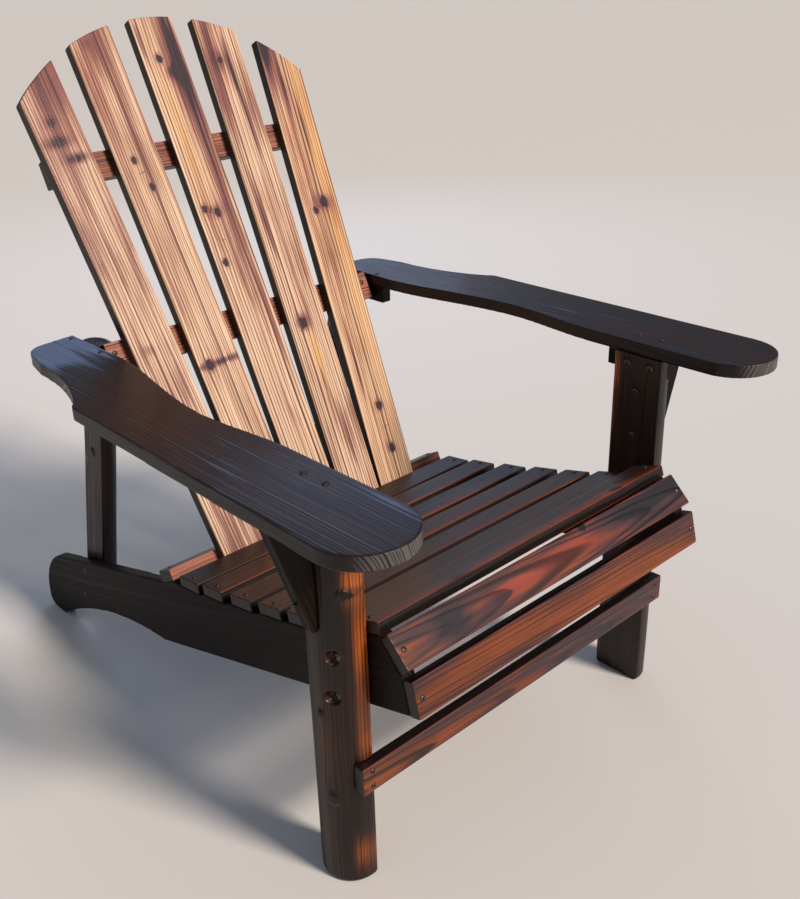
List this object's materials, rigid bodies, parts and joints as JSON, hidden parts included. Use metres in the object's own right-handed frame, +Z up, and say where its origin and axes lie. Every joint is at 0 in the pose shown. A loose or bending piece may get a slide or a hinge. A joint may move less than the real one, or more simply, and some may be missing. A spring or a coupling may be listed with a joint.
{
  "type": "adirondack chair",
  "caption": "Slatted adirondack chair with half-log legs, flat paddle arms, a fanned reclined back and a sloped seat, screwed together.",
  "frame": {"origin": "on the floor, in the middle of the chair's outline seen from above", "axes": "+X across the seat, +Y towards the back of the chair, +Z up; the sitter faces -Y"},
  "size_m": [0.764, 0.9804, 0.9426],
  "materials": {
    "back_boards": "gloss varnish over scorched fir",
    "seat_boards": "gloss varnish over dark scorched fir",
    "apron_boards": "gloss varnish over red-brown fir",
    "arm_boards": "gloss varnish over charred fir",
    "side_boards": "gloss varnish over charred fir",
    "half_logs": "gloss varnish over charred log, knots standing",
    "rail_boards": "gloss varnish over dark fir",
    "screws": "dark zinc-plated steel"
  },
  "bodies": {
    "root": {"stringer_left": "side_boards", "front_leg_left": "half_logs", "rear_post_left": "half_logs", "arm_left": "arm_boards", "front_cleat_left": "side_boards", "rear_cleat_left": "side_boards", "gusset_left": "side_boards", "stringer_right": "side_boards", "front_leg_right": "half_logs", "rear_post_right": "half_logs", "arm_right": "arm_boards", "front_cleat_right": "side_boards", "rear_cleat_right": "side_boards", "gusset_right": "side_boards", "seat_slat_1": "seat_boards", "seat_slat_2": "seat_boards", "seat_slat_3": "seat_boards", "seat_slat_4": "seat_boards", "seat_slat_5": "seat_boards", "seat_slat_6": "seat_boards", "seat_slat_7": "seat_boards", "apron_upper": "apron_boards", "apron_lower": "apron_boards", "front_stretcher": "apron_boards", "back_slat_1": "back_boards", "back_slat_2": "back_boards", "back_slat_3": "back_boards", "back_slat_4": "back_boards", "back_slat_5": "back_boards", "back_rail_top": "rail_boards", "back_rail_mid": "rail_boards", "back_rail_bottom": "rail_boards", "seat_screws": "screws", "stretcher_screws": "screws", "leg_screws": "screws", "post_screws": "screws", "front_cleat_screws": "screws", "rear_cleat_screws": "screws", "gusset_screws": "screws", "arm_screws": "screws", "back_rail_screws": "screws", "back_foot_screws": "screws", "mid_rail_screws": "screws", "bottom_rail_screws": "screws"}
  },
  "joints": []
}
